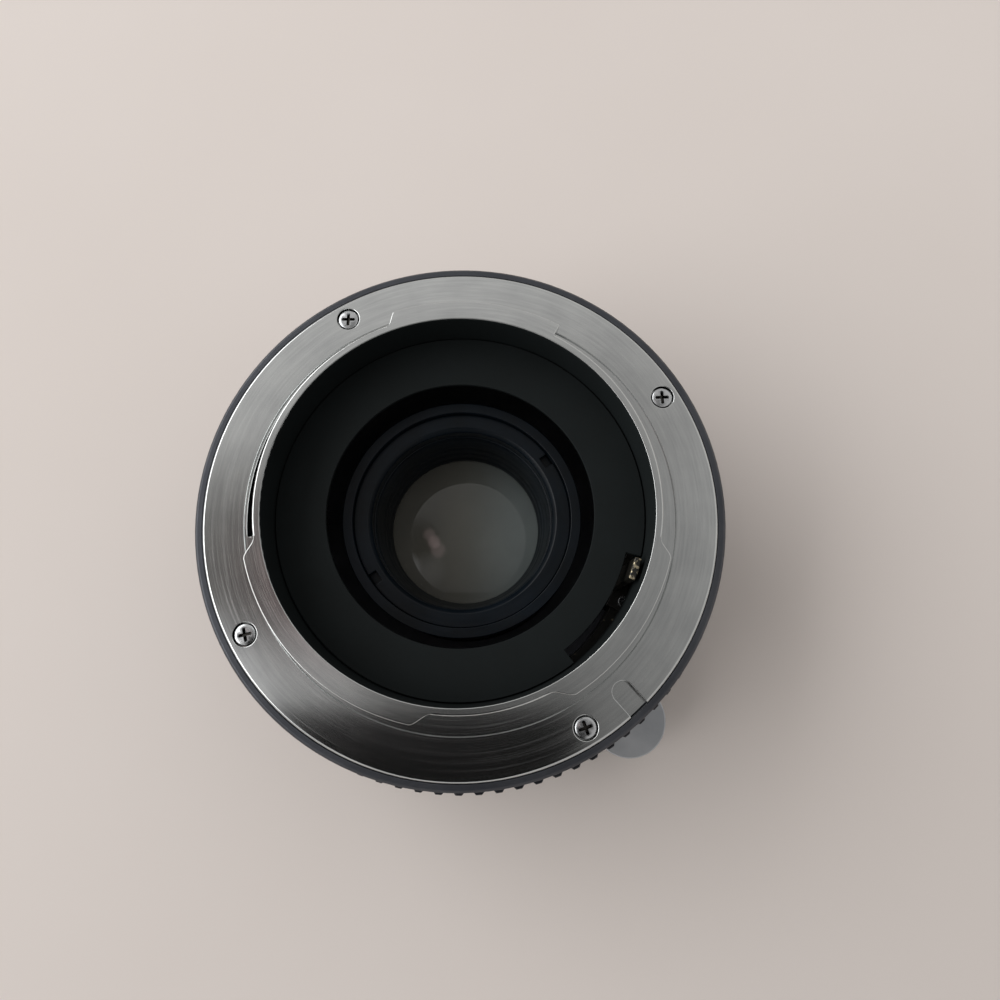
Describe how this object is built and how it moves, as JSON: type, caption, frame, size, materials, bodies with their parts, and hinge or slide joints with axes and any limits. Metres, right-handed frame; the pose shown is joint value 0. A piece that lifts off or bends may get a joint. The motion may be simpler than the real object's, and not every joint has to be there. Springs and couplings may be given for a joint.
{
  "type": "camera teleconverter",
  "caption": "Short black lens extender with a chrome bayonet mount at each end, a lens group inside, an aperture coupling lever and a sliding lens release tab.",
  "frame": {"origin": "on the optical axis, level with the tip of the lens lock pin, which is the lowest point when the part stands on its lens side", "axes": "+Z along the optical axis from the lens towards the camera, +X to the right and +Y up in the picture's view of the rear mount"},
  "size_m": [0.065, 0.065, 0.0376],
  "materials": {
    "black_barrel": "satin black anodised aluminium",
    "black_grip": "black anodised aluminium, straight ribs",
    "red_bead": "glossy red bead",
    "chrome_mount": "satin chromed brass with turned grain and fine scratches",
    "screw_steel": "nickel-plated steel",
    "black_screw": "blackened steel",
    "spring_steel": "bare spring steel",
    "satin_tab": "satin aluminium",
    "black_baffle": "aluminium sheet with matte black paint",
    "lever_brass": "worn brass",
    "black_cell": "black anodised aluminium with turned grooves",
    "coated_glass": "polished optical glass with an anti-reflection coating"
  },
  "bodies": {
    "housing": {"barrel": "black_barrel", "grip_ring": "black_grip", "mount_index_beads": "red_bead", "rear_bayonet_mount": "chrome_mount", "rear_mount_screws": "screw_steel", "rear_baffle": "black_baffle", "front_bayonet_mount": "chrome_mount", "front_mount_screws": "screw_steel", "lens_leaf_springs": "spring_steel", "leaf_spring_screws": "screw_steel", "front_baffle": "black_baffle", "front_baffle_screws": "black_screw", "lock_spring": "spring_steel", "aperture_ring_retainer": "spring_steel", "fixed_spring_post": "screw_steel", "aperture_return_spring": "spring_steel", "lens_cell": "black_cell", "cell_screws": "black_screw", "rear_retaining_ring": "black_cell", "rear_spacer": "black_cell", "rear_crown_element": "coated_glass", "rear_flint_element": "coated_glass", "middle_element": "coated_glass", "middle_spacer": "black_cell", "front_element": "coated_glass", "front_retaining_ring": "black_cell"},
    "release": {"release_tab": "satin_tab", "lock_pin": "screw_steel"},
    "aperture_coupling": {"aperture_ring": "lever_brass", "rear_aperture_lever": "lever_brass", "front_aperture_lever": "lever_brass", "lever_screws": "screw_steel", "moving_spring_post": "screw_steel"}
  },
  "joints": [
    {"name": "release_slide", "type": "slide", "parent": "housing", "child": "release", "axis": [0, 0, 1], "range_m": [0, 0.0018], "stiffness_N_per_m": 500, "springref_m": -0.004, "deforming": ["lock_spring"]},
    {"name": "aperture_turn", "type": "hinge", "parent": "housing", "child": "aperture_coupling", "pos_m": [0, 0, 0.0181], "axis": [0, 0, 1], "range_deg": [-28, 0], "stiffness_Nm_per_rad": 0.02, "springref_deg": 20.05, "deforming": ["aperture_return_spring"]}
  ]
}
